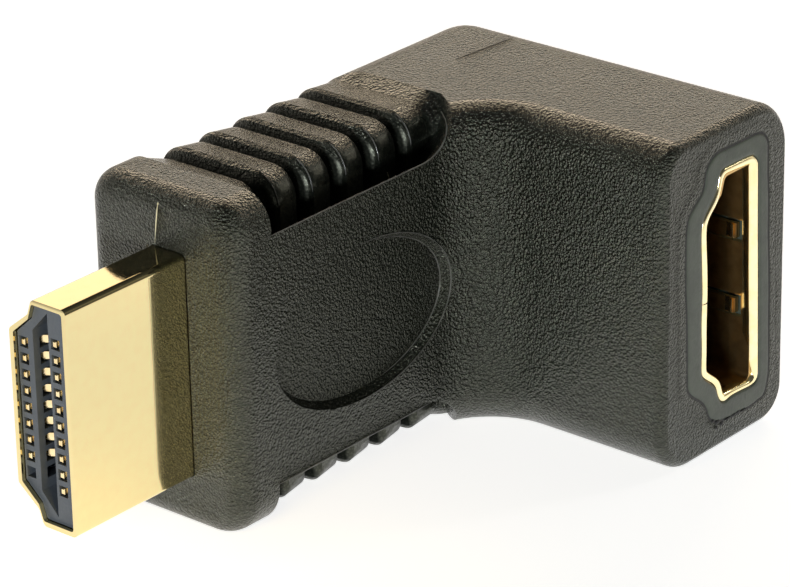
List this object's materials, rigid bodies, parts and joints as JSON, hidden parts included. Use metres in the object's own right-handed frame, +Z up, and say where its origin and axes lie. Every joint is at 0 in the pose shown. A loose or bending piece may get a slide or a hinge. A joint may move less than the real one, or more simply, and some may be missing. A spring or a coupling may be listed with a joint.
{
  "type": "right angle hdmi adapter",
  "caption": "Right-angle audio-video adapter: gold-plated plug and socket at ninety degrees, joined by a grained, ribbed over-moulded body.",
  "frame": {"origin": "on the narrow L-shaped face that the adapter stands on, straight below the crossing of the plug and socket axes", "axes": "+Z up, along both connectors' wide direction; the plug points along -X and the socket opens along -Y"},
  "size_m": [0.0434, 0.0253, 0.0209],
  "materials": {
    "overmould": "soft moulded plastic with a leathery grain",
    "inner_moulding": "smooth dull moulded plastic",
    "gold_shell": "gold-plated sheet metal, satin",
    "contact_gold": "gold-plated spring metal",
    "plug_insulator": "moulded insulator, satin",
    "receptacle_insulator": "moulded insulator, satin",
    "board": "coated glass-fibre board"
  },
  "bodies": {
    "root": {"circuit_board": "board", "inner_mould": "inner_moulding", "overmould_housing": "overmould", "pin_organiser": "receptacle_insulator", "plug_contact_narrow_01": "contact_gold", "plug_contact_narrow_02": "contact_gold", "plug_contact_narrow_03": "contact_gold", "plug_contact_narrow_04": "contact_gold", "plug_contact_narrow_05": "contact_gold", "plug_contact_narrow_06": "contact_gold", "plug_contact_narrow_07": "contact_gold", "plug_contact_narrow_08": "contact_gold", "plug_contact_wide_01": "contact_gold", "plug_contact_wide_02": "contact_gold", "plug_contact_wide_03": "contact_gold", "plug_contact_wide_04": "contact_gold", "plug_contact_wide_05": "contact_gold", "plug_contact_wide_06": "contact_gold", "plug_contact_wide_07": "contact_gold", "plug_contact_wide_08": "contact_gold", "plug_contact_wide_09": "contact_gold", "plug_contact_wide_10": "contact_gold", "plug_insulator": "plug_insulator", "plug_shell": "gold_shell", "receptacle_contact_narrow_01": "contact_gold", "receptacle_contact_narrow_02": "contact_gold", "receptacle_contact_narrow_03": "contact_gold", "receptacle_contact_narrow_04": "contact_gold", "receptacle_contact_narrow_05": "contact_gold", "receptacle_contact_narrow_06": "contact_gold", "receptacle_contact_narrow_07": "contact_gold", "receptacle_contact_narrow_08": "contact_gold", "receptacle_contact_narrow_09": "contact_gold", "receptacle_contact_wide_01": "contact_gold", "receptacle_contact_wide_02": "contact_gold", "receptacle_contact_wide_03": "contact_gold", "receptacle_contact_wide_04": "contact_gold", "receptacle_contact_wide_05": "contact_gold", "receptacle_contact_wide_06": "contact_gold", "receptacle_contact_wide_07": "contact_gold", "receptacle_contact_wide_08": "contact_gold", "receptacle_contact_wide_09": "contact_gold", "receptacle_contact_wide_10": "contact_gold", "receptacle_insulator": "receptacle_insulator", "receptacle_shell": "gold_shell"}
  },
  "joints": []
}
